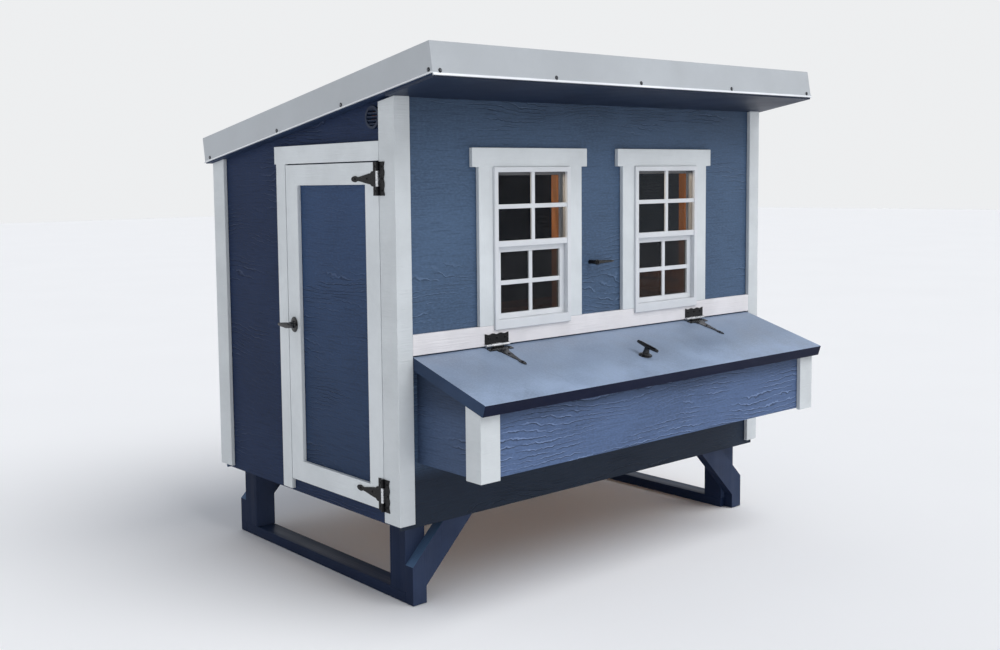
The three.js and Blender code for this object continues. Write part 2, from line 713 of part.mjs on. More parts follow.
// ---- catch that holds the open lid ----
const CATCH = { x: 878, z: 785, length: 90 };
piece(
  "lid_catch_screw",
  join(
    rod("y", CATCH.x, CATCH.z, -24, SIDING_OUT - GAP, 4),
    rod("y", CATCH.x, CATCH.z, -28, -24, 9),
    rod("y", CATCH.x, CATCH.z, -16, SIDING_OUT - GAP, 7),
  ),
  BLACK,
);
const catchBar = [
  [0, -7],
  [60, -6],
  [CATCH.length - 14, -5],
  [CATCH.length, 1],
  [CATCH.length - 12, 3],
  [60, 6],
  [0, 7],
].map(([a, b]) => [CATCH.x + a, CATCH.z + b]);
piece(
  "lid_catch",
  cut(
    join(
      prism(catchBar, "y", -23.5, -16.5),
      rod("y", CATCH.x, CATCH.z, -23.5, -16.5, 9),
    ),
    rod("y", CATCH.x, CATCH.z, -99, 99, 4.5),
  ),
  BLACK,
);

// ---- round louvred gable vent ----
const VENT = { y: 121, z: 1279, r: 36 };
const slats = [];
for (let i = -2; i <= 2; i += 1) {
  const slat = box(-1, 1, -31, 31, -7, 7).rotate([0, -50, 0]);
  slats.push(slat.translate([10, VENT.y, VENT.z + i * 11.5]));
}
const ventShell = rod("x", VENT.y, VENT.z, 6, SIDING_OUT - GAP, VENT.r, 32);
piece(
  "gable_vent",
  join(
    cut(ventShell, rod("x", VENT.y, VENT.z, -9, 99, VENT.r - 8, 32)),
    join(slats).intersect(rod("x", VENT.y, VENT.z, 7, SIDING_OUT - GAP, VENT.r - 5)),
  ),
  BLUE,
);

// ---- pop door that drops to make the ramp, on the right wall ----
const outX = HOUSE_W;
const popCasingX0 = outX - trimBack;
const POP_TRIM = 59;
piece(
  "pop_casing",
  join(
    cut(
      box(popCasingX0, outX, POP.y0 - POP_TRIM, POP.y1 + POP_TRIM, POP.z0 - POP_TRIM, POP.z1 + POP_TRIM),
      box(0, BIG, POP.y0 - 2, POP.y1 + 2, POP.z0 - 3, POP.z1 + 3),
    ),
    box(popCasingX0, outX, POP.y0 - POP_TRIM - 10, POP.y1 + POP_TRIM + 10, POP.z1 + 3, POP.z1 + POP_TRIM + 3),
  ),
  WHITE,
);
const rampX0 = outX - SIDING_IN + GAP;
const rampFace = rampX0 + RAMP_T;
const cleats = [];
for (let i = 0; i < 6; i += 1) {
  const z = POP.z0 + 60 + i * 84;
  cleats.push(box(rampX0 - 14, rampX0 + 1, POP.y0 + 30, POP.y1 - 30, z, z + 16));
}
piece(
  "ramp_panel",
  join(box(rampX0, rampFace, POP.y0, POP.y1, POP.z0, POP.z1), cleats),
  BLUE,
);
// One long hinge with five knuckles: three on the casing's leaf, two on the panel's.
const BARREL = 4;
const KNUCKLE_L = 52;
const hingeY0 = POP.y0 + 20;
const hingeY1 = hingeY0 + 5 * KNUCKLE_L;
const knuckles = (indices, z0, z1) =>
  indices.flatMap((i) => {
    const y0 = hingeY0 + i * KNUCKLE_L + (i % 2) * GAP;
    const y1 = hingeY0 + (i + 1) * KNUCKLE_L - (i % 2) * GAP;
    return [
      rod("y", RAMP_AXIS.x, RAMP_AXIS.z, y0, y1, BARREL, 12),
      box(outX + GAP, RAMP_AXIS.x, y0, y1, RAMP_AXIS.z + z0, RAMP_AXIS.z + z1),
    ];
  });
const rampPin = (radius) => rod("y", RAMP_AXIS.x, RAMP_AXIS.z, hingeY0, hingeY1, radius, 12);
piece(
  "ramp_hinge_leaf",
  join(
    box(outX + GAP, outX + 2.5, hingeY0, hingeY1, RAMP_AXIS.z - 34, RAMP_AXIS.z - BARREL - 0.5),
    knuckles([0, 2, 4], -5, -1),
    rampPin(1.8),
  ),
  BLACK,
);
piece(
  "ramp_hinge_strap",
  cut(
    join(
      box(outX + GAP, outX + 2.5, hingeY0, hingeY1, RAMP_AXIS.z + BARREL + 0.5, RAMP_AXIS.z + 34),
      knuckles([1, 3], 1, 5),
    ),
    rampPin(2.1),
  ),
  BLACK,
);
const BUTTON = { y: (POP.y0 + POP.y1) / 2, z: POP.z1 + 30, half: 50 };
piece(
  "ramp_button",
  join(
    prism(
      [
        [BUTTON.y - BUTTON.half + 4, BUTTON.z - 9],
        [BUTTON.y + BUTTON.half - 4, BUTTON.z - 9],
        [BUTTON.y + BUTTON.half, BUTTON.z],
        [BUTTON.y + BUTTON.half - 4, BUTTON.z + 9],
        [BUTTON.y - BUTTON.half + 4, BUTTON.z + 9],
        [BUTTON.y - BUTTON.half, BUTTON.z],
      ],
      "x",
      outX + GAP,
      outX + 12,
    ),
    rod("x", BUTTON.y, BUTTON.z, outX + 1, outX + 14.5, 6),
  ),
  WHITE,
);

// ---- roost ----
const ROOST = { z: 520, ys: [760, 960] };
const cleatBoard = box(STUD_IN + GAP, STUD_IN + 19, 700, 1020, ROOST.z - 74, ROOST.z - 14);
const perches = ROOST.ys.map((y) =>
  prism(
    [
      [y - 22, ROOST.z - 20],
      [y + 22, ROOST.z - 20],
      [y + 22, ROOST.z + 8],
      [y + 14, ROOST.z + 16],
      [y - 14, ROOST.z + 16],
      [y - 22, ROOST.z + 8],
    ],
    "x",
    STUD_IN + GAP,
    HOUSE_W - STUD_IN - GAP,
  ),
);
piece("roost", join(cleatBoard, mirrorX(cleatBoard), perches), PINE);

// The part's own origin: the middle of its footprint, on the ground.
const bounds = new THREE.Box3().setFromObject(group);
const middle = bounds.getCenter(new THREE.Vector3());
group.position.set(-middle.x, -middle.y, -bounds.min.z);

export default group;
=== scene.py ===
import math

import bmesh
import bpy
from mathutils import Matrix, Vector


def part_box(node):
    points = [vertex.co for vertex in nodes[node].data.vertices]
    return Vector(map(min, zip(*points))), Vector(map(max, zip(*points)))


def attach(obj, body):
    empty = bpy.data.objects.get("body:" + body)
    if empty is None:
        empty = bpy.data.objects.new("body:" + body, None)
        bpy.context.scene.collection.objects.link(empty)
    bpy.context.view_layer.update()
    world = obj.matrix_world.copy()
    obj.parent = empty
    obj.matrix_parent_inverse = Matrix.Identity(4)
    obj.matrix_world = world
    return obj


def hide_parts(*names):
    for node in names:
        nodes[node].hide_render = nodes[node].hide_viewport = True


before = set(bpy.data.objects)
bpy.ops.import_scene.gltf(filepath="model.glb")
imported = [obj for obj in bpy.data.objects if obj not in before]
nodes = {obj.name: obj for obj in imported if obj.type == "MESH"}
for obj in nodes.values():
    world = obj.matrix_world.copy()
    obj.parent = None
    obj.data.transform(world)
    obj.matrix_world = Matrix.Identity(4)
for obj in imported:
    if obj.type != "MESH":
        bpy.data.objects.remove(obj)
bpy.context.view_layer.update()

# The house frame of the CAD: millimetres from the foot of the front left corner trim.
# The row frame has its origin in the middle of the footprint, on the ground.
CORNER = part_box("corner_trim_front_left")[0]


def at(x, y, z):
    """A point of the house frame, in the row frame."""
    return CORNER + Vector((x, y, z)) * 0.001


HOUSE_W = 1860
HOUSE_D = 1135
ROOF_TILT = math.atan(1 / 6)
LID_TILT = math.radians(17.4)
DOOR_HANDLE = (584, 589)
LID_HANDLE = (926, 217)
DOOR_HINGES = (88, 1088)
LID_HINGES = (413, 1447)
DOOR_AXIS = (-5.6, 82.5)
LID_AXIS = (-6, 537)
CATCH = (878, 785)
ROOF_FRONT = (-201, 1481)
LID_BACK = (8, 532.4)


def on_roof(x, run, height):
    """A point on the roof: run down the slope from the front edge, height off its top."""
    return at(
        x,
        ROOF_FRONT[0] + run * math.cos(ROOF_TILT) + height * math.sin(ROOF_TILT),
        ROOF_FRONT[1] - run * math.sin(ROOF_TILT) + height * math.cos(ROOF_TILT),
    )


def on_lid(x, run, height):
    """A point on the nest lid: run down the slope from its back edge, height off its top."""
    return at(
        x,
        LID_BACK[0] - run * math.cos(LID_TILT) - height * math.sin(LID_TILT),
        LID_BACK[1] - run * math.sin(LID_TILT) + height * math.cos(LID_TILT),
    )


# Directions off the roof and the lid, and down their slopes.
ROOF_UP = Vector((0, math.sin(ROOF_TILT), math.cos(ROOF_TILT)))
ROOF_DOWNHILL = Vector((0, math.cos(ROOF_TILT), -math.sin(ROOF_TILT)))
LID_UP = Vector((0, -math.sin(LID_TILT), math.cos(LID_TILT)))
LID_DOWNHILL = Vector((0, -math.cos(LID_TILT), -math.sin(LID_TILT)))
X = Vector((1, 0, 0))
Y = Vector((0, 1, 0))
Z = Vector((0, 0, 1))

# ---------------------------------------------------------------- materials


class Graph:
    """A short way to write shader nodes."""

    def __init__(self, name):
        self.material = bpy.data.materials.new(name)
        self.material.use_nodes = True
        self.tree = self.material.node_tree
        self.bsdf = self.tree.nodes["Principled BSDF"]
        self.coords = self.tree.nodes.new("ShaderNodeTexCoord").outputs["Object"]

    def feed(self, socket, value):
        """Links another node's output, or sets a plain value."""
        if isinstance(value, bpy.types.NodeSocket):
            self.tree.links.new(value, socket)
        else:
            socket.default_value = value

    def math(self, operation, a, b=0.0):
        node = self.tree.nodes.new("ShaderNodeMath")
        node.operation = operation
        self.feed(node.inputs[0], a)
        self.feed(node.inputs[1], b)
        return node.outputs[0]

    def scaled(self, value, factor):
        return self.math("MULTIPLY", value, factor)

    def along(self, axis):
        """Distance along a direction, in metres."""
        node = self.tree.nodes.new("ShaderNodeVectorMath")
        node.operation = "DOT_PRODUCT"
        self.feed(node.inputs[0], self.coords)
        self.feed(node.inputs[1], axis)
        return node.outputs["Value"]

    def vector(self, x, y, z):
        node = self.tree.nodes.new("ShaderNodeCombineXYZ")
        for socket, value in zip(node.inputs, (x, y, z)):
            self.feed(socket, value)
        return node.outputs[0]

    def noise(self, vector, scale=1.0, detail=2.0, roughness=0.5, distortion=0.0):
        node = self.tree.nodes.new("ShaderNodeTexNoise")
        self.feed(node.inputs["Vector"], vector)
        node.inputs["Scale"].default_value = scale
        node.inputs["Detail"].default_value = detail
        node.inputs["Roughness"].default_value = roughness
        node.inputs["Distortion"].default_value = distortion
        return node.outputs["Fac"]

    def step(self, value, low, high, out_low=0.0, out_high=1.0):
        """Goes smoothly from out_low, where the value is low, to out_high, where it is high."""
        node = self.tree.nodes.new("ShaderNodeMapRange")
        node.interpolation_type = "SMOOTHSTEP"
        self.feed(node.inputs["Value"], value)
        node.inputs["From Min"].default_value = low
        node.inputs["From Max"].default_value = high
        node.inputs["To Min"].default_value = out_low
        node.inputs["To Max"].default_value = out_high
        return node.outputs["Result"]

    def mix(self, factor, a, b):
        node = self.tree.nodes.new("ShaderNodeMix")
        node.data_type = "RGBA"
        self.feed(node.inputs[0], factor)
        self.feed(node.inputs[6], a)
        self.feed(node.inputs[7], b)
        return node.outputs[2]

    def bump(self, height, distance, strength=1.0):
        node = self.tree.nodes.new("ShaderNodeBump")
        node.inputs["Strength"].default_value = strength
        node.inputs["Distance"].default_value = distance
        self.feed(node.inputs["Height"], height)
        self.feed(self.bsdf.inputs["Normal"], node.outputs[0])

    def finish(self, colour, roughness, metallic=0.0):
        self.feed(self.bsdf.inputs["Base Color"], colour)
        self.feed(self.bsdf.inputs["Roughness"], roughness)
        self.bsdf.inputs["Metallic"].default_value = metallic
        return self.material


def rgb(r, g, b):
    """An sRGB colour, 0 to 255, as a linear one."""

    def linear(c):
        c /= 255
        return c / 12.92 if c <= 0.04045 else ((c + 0.055) / 1.055) ** 2.4

    return (linear(r), linear(g), linear(b), 1.0)


def shade(colour, factor):
    """The colour made darker or lighter."""
    return tuple(min(1.0, c * factor) for c in colour[:3]) + (1.0,)


# Board directions: along the grain, then across it.
LEVEL = ((1, 1, 0), (0, 0, 1))
UPRIGHT = ((0, 0, 1), (1, 1, 0))
ACROSS = ((0, 1, 0), (1, 0, 1))

# The dark that the tones mix in: painted shade under the nest box, the eave and the lid, and a door
# darker towards the bottom.
DARK_TONE = (0.003, 0.006, 0.014, 1)
GROWTH_LINES = 64.0  # to a metre
LID_DARKENING = (-0.70, -0.58)  # Y, from the lid's paler lower edge to its darker upper part


def paler(colour):
    """The colour lightened, a painted highlight on a raised edge."""
    return tuple(min(1.0, c * 2.0 + 0.06) for c in colour[:3]) + (1.0,)


def embossed_siding(
    name, colour, seed, relief=0.0012, bold=(0.50, 0.64), ink=0.45, gloss=0.2, swirl=9.0, tones=()
):
    """Painted panel siding pressed with a rough cedar grain: clusters of level, jagged growth lines
    that close into eyes, each a light ridge over a dark groove, on calmer stippled ground. The
    light ridge is a painted highlight and the dark groove painted shade. Clusters fade in between
    the two values of bold. Ink is how strongly the lines are coloured, and swirl how far they
    wander. Each tone is two heights with how much of the colour is left at each, for painted shade
    under things and for a door that is darker towards the bottom.
    """
    g = Graph(name)
    u = g.along(LEVEL[0])
    v = g.along(LEVEL[1])

    def stretched(along_u, along_v, offset=0.0, **noise):
        return g.noise(g.vector(g.scaled(u, along_u), g.scaled(v, along_v), seed + offset), **noise)

    drift = stretched(2.0, 7.5, detail=1.0)
    ripple = stretched(30.0, 40.0, 3.0, detail=2.0)
    streak = stretched(9.0, 170.0, 9.0, detail=2.5, roughness=0.6, distortion=0.2)
    ground = stretched(80.0, 165.0, 4.0, detail=3.0)
    strong = g.step(stretched(2.0, 6.5, 5.0, detail=1.5), bold[0], bold[1], 0.12, 1.0)
    broken = g.step(stretched(9.0, 70.0, 7.0, detail=1.0), 0.34, 0.50)
    mask = g.math("MULTIPLY", strong, broken)

    rise = g.math("ADD", g.scaled(v, GROWTH_LINES), g.scaled(drift, swirl))
    saw = g.math("FRACT", g.math("ADD", rise, ripple))
    ridge = g.math("MULTIPLY", g.step(saw, 0.42, 0.54), g.step(saw, 0.58, 0.68, 1.0, 0.0))
    groove = g.math("MULTIPLY", g.step(saw, 0.26, 0.36), g.step(saw, 0.40, 0.50, 1.0, 0.0))
    lines = g.math("MULTIPLY", g.math("SUBTRACT", ridge, groove), mask)
    height = g.math("ADD", g.math("ADD", lines, g.scaled(streak, 0.6)), g.scaled(ground, 0.6))
    g.bump(height, relief)

    cloud = g.noise(g.vector(u, v, seed + 2), scale=3.1, detail=4.0)
    base = g.mix(g.step(cloud, 0.3, 0.7), shade(colour, 0.88), shade(colour, 1.12))
    spotted = g.mix(g.step(ground, 0.35, 0.70, 0.0, 0.5), base, shade(colour, 1.55))
    streaked = g.mix(g.step(streak, 0.34, 0.48, 0.32, 0.0), spotted, shade(colour, 0.5))
    # A painted highlight along each ridge and painted shade in each groove, as if lit from above.
    lit_line = g.scaled(g.math("MULTIPLY", ridge, mask), ink)
    groove_shade = g.scaled(g.math("MULTIPLY", groove, mask), 0.3 + 0.5 * ink)
    lit = g.mix(lit_line, streaked, paler(colour))
    toned = g.mix(groove_shade, lit, shade(colour, 0.3))
    # Each tone darkens by height: painted shade, or a door darker towards the bottom.
    for low, high, left_low, left_high in tones:
        toned = g.mix(g.step(g.along(Z), low, high, left_low, left_high), DARK_TONE, toned)
    g.bsdf.inputs["Specular IOR Level"].default_value = gloss
    return g.finish(toned, g.step(ground, 0.2, 0.8, 0.5, 0.68))


def painted_board(name, colour, run, seed, relief, spread, gloss=0.5):
    """A painted board with soft grain, brush marks and slightly uneven colour."""
    g = Graph(name)
    u = g.along(run[0])
    v = g.along(run[1])
    grain = g.noise(g.vector(g.scaled(u, 9.0), g.scaled(v, 190.0), seed), detail=3.0)
    sweep = g.noise(g.vector(g.scaled(u, 2.2), g.scaled(v, 26.0), seed + 3), detail=2.0)
    cloud = g.noise(g.coords, scale=5.0, detail=5.0, roughness=0.6)
    base = g.mix(g.step(cloud, 0.3, 0.7), shade(colour, 1 - spread), shade(colour, 1 + spread))
    streaked = g.mix(g.step(grain, 0.15, 0.42, 0.35, 0.0), base, shade(colour, 0.82))
    g.bump(g.math("ADD", grain, g.scaled(sweep, 0.8)), relief)
    g.bsdf.inputs["Specular IOR Level"].default_value = gloss
    return g.finish(streaked, g.step(sweep, 0.3, 0.7, 0.42, 0.6))


def navy_board(name, colour, run, seed, gloss):
    """Rough lumber under dark paint."""
    return painted_board(name, colour, run, seed, relief=0.0008, spread=0.12, gloss=gloss)


def white_board(name, colour, run, seed, relief):
    """Trim lumber under white paint."""
    return painted_board(name, colour, run, seed, relief, spread=0.06)


def lid_finish(name, colour, seed):
    """Rolled paint on the smooth lid: cloudy mottling, a fine stipple, faint run-off marks and a
    paler lower edge."""
    g = Graph(name)
    u = g.along(X)
    v = g.along(Y)
    cloud = g.noise(g.vector(u, v, seed), scale=6.0, detail=5.0, roughness=0.62)
    patch = g.noise(g.vector(u, v, seed + 4), scale=1.6, detail=2.0)
    stipple = g.noise(g.coords, scale=170.0, detail=2.0)
    run_off = g.noise(g.vector(g.scaled(u, 60.0), g.scaled(v, 3.0), seed), detail=2.0)
    base = g.mix(g.step(cloud, 0.3, 0.7), shade(colour, 0.80), shade(colour, 1.14))
    speckled = g.mix(g.step(stipple, 0.4, 0.7, 0.0, 0.3), base, shade(colour, 1.5))
    patched = g.mix(g.step(patch, 0.35, 0.7, 0.0, 0.45), speckled, shade(colour, 1.3))
    darker_upper = g.mix(g.step(v, *LID_DARKENING, 0.0, 0.42), patched, shade(colour, 0.5))
    marked = g.mix(g.step(run_off, 0.58, 0.72, 0.0, 0.22), darker_upper, shade(colour, 0.7))
    g.bump(g.math("ADD", stipple, g.scaled(cloud, 1.5)), 0.0005)
    return g.finish(marked, g.step(cloud, 0.3, 0.7, 0.34, 0.52))


def bare_wood(name, colour, run, seed):
    """Unpainted pine: contour-line growth rings and fine fibre."""
    g = Graph(name)
    u = g.along(run[0])
    v = g.along(run[1])
    drift = g.noise(g.vector(g.scaled(u, 0.8), g.scaled(v, 7.0), seed), detail=2.0)
    rings = g.step(g.math("SINE", g.scaled(drift, 60.0)), -0.6, 1.0)
    fibre = g.noise(g.vector(g.scaled(u, 14.0), g.scaled(v, 260.0), seed), detail=3.0)
    base = g.mix(rings, shade(colour, 0.72), shade(colour, 1.1))
    streaked = g.mix(g.step(fibre, 0.3, 0.6, 0.4, 0.0), base, shade(colour, 0.55))
    g.bump(g.math("ADD", g.scaled(rings, 0.6), fibre), 0.0005)
    return g.finish(streaked, g.step(fibre, 0.3, 0.7, 0.6, 0.8))


def coated_metal(name, colour, rough=0.4, seed=0.0):
    """Light enamelled sheet metal, a little dulled and scuffed."""
    g = Graph(name)
    cloud = g.noise(g.coords, scale=2.6, detail=5.0, roughness=0.6)
    speck = g.noise(g.coords, scale=240.0, detail=2.0)
    wave = g.noise(g.vector(g.along(X), g.along(Y), seed), scale=1.7, detail=1.0)
    base = g.mix(g.step(cloud, 0.3, 0.7), shade(colour, 0.93), shade(colour, 1.05))
    dusty = g.mix(g.step(speck, 0.6, 0.75, 0.0, 0.25), base, shade(colour, 0.75))
    g.bump(g.math("ADD", g.scaled(wave, 3.0), g.scaled(speck, 0.06)), 0.0012)
    return g.finish(dusty, g.step(cloud, 0.3, 0.7, rough - 0.06, rough + 0.1), 0.25)


def black_iron(name, rough=0.3, gloss=0.22):
    """Black powder coat with a fine orange peel, thin on the high spots."""
    g = Graph(name)
    peel = g.noise(g.coords, scale=620.0, detail=2.0)
    wear = g.noise(g.coords, scale=95.0, detail=5.0, roughness=0.7)
    colour = g.mix(g.step(wear, 0.62, 0.74), rgb(12, 12, 15), rgb(44, 44, 48))
    g.bump(peel, 0.00018)
    g.bsdf.inputs["Specular IOR Level"].default_value = gloss
    return g.finish(colour, g.step(wear, 0.3, 0.7, rough - 0.08, rough + 0.12))


def zinc(name, dull=rgb(198, 200, 203), shiny=rgb(228, 229, 231)):
    """Plated steel of the pins and screws."""
    g = Graph(name)
    turn = g.noise(g.coords, scale=900.0, detail=2.0)
    spangle = g.noise(g.coords, scale=130.0, detail=3.0)
    colour = g.mix(g.step(spangle, 0.35, 0.65), dull, shiny)
    g.bump(turn, 0.00008)
    return g.finish(colour, g.step(spangle, 0.3, 0.7, 0.24, 0.4), 0.9)


def vinyl(name, colour):
    """White window moulding."""
    g = Graph(name)
    cloud = g.noise(g.coords, scale=9.0, detail=4.0)
    fine = g.noise(g.coords, scale=420.0, detail=2.0)
    base = g.mix(g.step(cloud, 0.3, 0.7), shade(colour, 0.96), shade(colour, 1.03))
    g.bump(fine, 0.00012)
    return g.finish(base, g.step(cloud, 0.3, 0.7, 0.3, 0.42))


def window_glass(name, alpha):
    """Clear panes, a little smeared; a higher alpha reads as glass behind an insect screen."""
    g = Graph(name)
    smear = g.noise(g.coords, scale=14.0, detail=4.0)
    base = g.mix(g.step(smear, 0.4, 0.75), (0.004, 0.005, 0.007, 1), (0.012, 0.013, 0.016, 1))
    g.bump(g.noise(g.coords, scale=6.0, detail=1.0), 0.0006, 0.4)
    material = g.finish(base, g.step(smear, 0.4, 0.8, 0.015, 0.07))
    g.bsdf.inputs["Alpha"].default_value = alpha
    g.bsdf.inputs["Specular IOR Level"].default_value = 0.16
    return material


# Paint. The shaded blues are for the door side, which gets little light.
SLATE = rgb(69, 89, 115)
NEST_BLUE = rgb(77, 96, 130)
# Darker blue for the ends of the nest box, painted shade of the lid and the corner trim.
SHADED_NEST_END_BLUE = rgb(62, 78, 105)
# Navy for the ends of the lid, painted shade.
SHADED_LID_END_NAVY = rgb(50, 66, 92)
SHADED_SLATE = rgb(34, 47, 74)
# Darker blue for the door panel and the ramp panel, painted shade.
SHADED_DOOR_BLUE = rgb(50, 70, 102)
NAVY = rgb(46, 58, 84)
# Lighter navy for the sloping tops of the braces, painted light.
LIT_NAVY = rgb(70, 94, 124)
SHADED_NAVY = rgb(25, 37, 62)
# Deep navy for the edges and underside of the lid, painted shade.
SHADED_DEEP_NAVY = rgb(19, 25, 48)
FRAME_NAVY = rgb(28, 40, 62)
RUNNER_NAVY = rgb(40, 55, 82)
LID_BLUE = rgb(139, 156, 181)
CORNER_WHITE = rgb(203, 208, 211)
OFF_WHITE = rgb(214, 219, 222)
# Brighter white for the belt trim, painted light bounced up off the lid.
LIT_BELT_WHITE = rgb(229, 226, 228)

# Tones, with heights in metres above the ground.
# Painted shadow of the nest box on the front wall below it.
NEST_SHADOW = (0.40, 0.50, 0.16, 1.0)
# Painted shade under the eave at the top of the front wall.
EAVE_SHADE = (1.42, 1.62, 1.0, 0.66)
# Painted shade under the lid at the top of the nest box.
LID_SHADE = (0.60, 0.70, 1.0, 0.5)
# A door that is darker towards the bottom.
DOWN_DOOR = (0.35, 1.25, 0.58, 1.0)

siding_front = embossed_siding("siding_front", SLATE, 0.0, tones=(NEST_SHADOW, EAVE_SHADE))
siding_left = embossed_siding("siding_left", SHADED_SLATE, 11.0, gloss=0.1)
siding_right = embossed_siding("siding_right", SLATE, 23.0)
siding_back = embossed_siding("siding_back", SLATE, 37.0)
siding_door = embossed_siding("siding_door", SHADED_DOOR_BLUE, 51.0, gloss=0.15, tones=(DOWN_DOOR,))
siding_nest = embossed_siding(
    "siding_nest", NEST_BLUE, 64.0,
    relief=0.0013, bold=(0.36, 0.52), ink=0.75, swirl=5.5, tones=(LID_SHADE,),
)
siding_nest_end_shaded = embossed_siding(
    "siding_nest_end_shaded", SHADED_NEST_END_BLUE, 64.0, swirl=5.5, tones=(LID_SHADE,)
)
navy_long = navy_board("navy_long", FRAME_NAVY, LEVEL, 3.0, gloss=0.3)
navy_end_shaded = navy_board("navy_end_shaded", SHADED_LID_END_NAVY, LEVEL, 6.0, gloss=0.1)
navy_edge_shaded = navy_board("navy_edge_shaded", SHADED_DEEP_NAVY, LEVEL, 5.0, gloss=0.08)
navy_upright = navy_board("navy_upright", NAVY, UPRIGHT, 8.0, gloss=0.15)
navy_lit = navy_board("navy_lit", LIT_NAVY, UPRIGHT, 10.0, gloss=0.15)
navy_side = navy_board("navy_side", SHADED_NAVY, UPRIGHT, 12.0, gloss=0.1)
navy_across = navy_board("navy_across", RUNNER_NAVY, ACROSS, 9.0, gloss=0.15)
navy_runner = navy_board("navy_runner", SHADED_NAVY, ACROSS, 14.0, gloss=0.1)
lid_paint = lid_finish("lid_paint", LID_BLUE, 17.0)
white_corner = white_board("white_corner", CORNER_WHITE, LEVEL, 7.0, 0.0011)
lit_white_belt = white_board("lit_white_belt", LIT_BELT_WHITE, LEVEL, 9.0, 0.0011)
white_upright = white_board("white_upright", OFF_WHITE, UPRIGHT, 4.0, 0.0009)
white_level = white_board("white_level", OFF_WHITE, LEVEL, 6.0, 0.0009)
pine_level = bare_wood("pine_level", rgb(186, 128, 72), LEVEL, 1.0)
pine_upright = bare_wood("pine_upright", rgb(196, 122, 54), UPRIGHT, 2.0)
pine_deep = bare_wood("pine_deep", rgb(182, 122, 66), ACROSS, 5.0)
fascia_metal = coated_metal("fascia_metal", rgb(182, 187, 192))
# Brighter metal for the hem along the lower lip of the edge trim, painted light.
lit_hem_metal = coated_metal("lit_hem_metal", rgb(236, 239, 243))
roof_metal = coated_metal("roof_metal", rgb(160, 166, 172), rough=0.36, seed=4.0)
iron = black_iron("black_iron")
polished_iron = black_iron("polished_iron", rough=0.2, gloss=0.55)
bright = zinc("bright_zinc")
white_vinyl = vinyl("white_vinyl", rgb(216, 219, 223))
clear_glass = window_glass("clear_glass", 0.34)
screened_glass = window_glass("screened_glass", 0.66)
weathered_zinc = zinc("weathered_zinc", rgb(92, 95, 100), rgb(134, 137, 142))
rubber = black_iron("sealing_rubber")

# ---------------------------------------------------------------- the CAD nodes

WELD_GAP = 0.00002
BEVEL_FROM = 35  # degrees between two faces
FLAT_FACE_WEIGHT = 100

# Where the nodes change from one material to another, in the house frame.
SIDING_BACK = 25.05
DOOR_PANEL_BACK = 24.0
WINDOW_FRAME_BACK = 22
WINDOW_HEADER = 1121.2
DOOR_HEADER = 1144.2
DOOR_RAILS_Y = (156.5, 548)
DOOR_PANEL_Z = (112, 1069)
BARREL_REACH = 5.15
ROOF_INSIDE = 15
NEST_END = 95
NEST_FRONT = -200
NEST_FLOOR = 260


def dress(name, *materials, bevel=0.0, pick=None):
    """Gives a CAD node its materials, and softens its edges by a bevel. Where there are several
    materials, pick says which one a face gets."""
    node = nodes[name]
    node.data.materials.clear()
    for material in materials:
        node.data.materials.append(material)
    for face in node.data.polygons:
        face.material_index = pick(face) if pick else 0
        face.use_smooth = bevel > 0
    if bevel:
        weld = node.modifiers.new("weld", "WELD")
        weld.merge_threshold = WELD_GAP
        soft = node.modifiers.new("soft_edges", "BEVEL")
        soft.width = bevel
        soft.segments = 2
        soft.limit_method = "ANGLE"
        soft.angle_limit = math.radians(BEVEL_FROM)
        flat = node.modifiers.new("flat_faces", "WEIGHTED_NORMAL")
        flat.weight = FLAT_FACE_WEIGHT


def house_mm(face):
    """The middle of a face in the house frame."""
    return (face.center - CORNER) * 1000


def above(height):
    """Picks the second material over a height."""
    return lambda face: int(house_mm(face).z > height)


def lid_barrel(face):
    """1 on the plated barrel of a lid hinge."""
    p = house_mm(face)
    return int(math.hypot(p.y - LID_AXIS[0], p.z - LID_AXIS[1]) < BARREL_REACH)


def door_barrel(face):
    """1 on the plated barrel of a door hinge."""
    p = house_mm(face)
    return int(math.hypot(p.x - DOOR_AXIS[0], p.y - DOOR_AXIS[1]) < BARREL_REACH)


def leg_face(face):
    """2 on the slope of a brace, which gets a lighter navy as painted light, 1 on the sides, which
    get a darker navy as painted shade, and 0 on the front and back.
    """
    if 0.3 < face.normal.z < 0.9:
        return 2
    return int(abs(face.normal.y) < 0.5)


def bare_jamb(face):
    """1 on the back part of a window frame where it faces left, which is bare wood."""
    return int(house_mm(face).y > WINDOW_FRAME_BACK and face.normal.x < -0.5)


def roof_outside(face):
    """1 on the roof frame outside the walls, which is painted."""
    p = house_mm(face)
    return int(
        not (
            ROOF_INSIDE < p.x < HOUSE_W - ROOF_INSIDE and ROOF_INSIDE < p.y < HOUSE_D - ROOF_INSIDE
        )
    )


def door_rail(face):
    """1 on the rails of the door frame, between the stiles."""
    p = house_mm(face)
    between = DOOR_RAILS_Y[0] < p.y < DOOR_RAILS_Y[1]
    return int(between and not DOOR_PANEL_Z[0] < p.z < DOOR_PANEL_Z[1])


def nest_face(face):
    """1 inside the nest box, which is bare wood, 2 on its ends, which get a darker blue as painted
    shade, and 0 on the rest.
    """
    p = house_mm(face)
    n = face.normal
    end = abs(n.x) > 0.5
    inside_end = end and (p.x - HOUSE_W / 2) * n.x < 0 and NEST_END < p.x < HOUSE_W - NEST_END
    inside_front = n.y > 0.5 and p.y < NEST_FRONT
    on_floor = n.z > 0.5 and p.z < NEST_FLOOR
    if inside_end or inside_front or on_floor:
        return 1
    return 2 if end else 0


def lid_face(face):
    """2 on the ends of the lid, 1 on its edges and underside and 0 on top. The ends, edges and
    underside get darker navy, painted shade.
    """
    return 2 if abs(face.normal.x) > 0.5 else int(face.normal.z < 0.7)


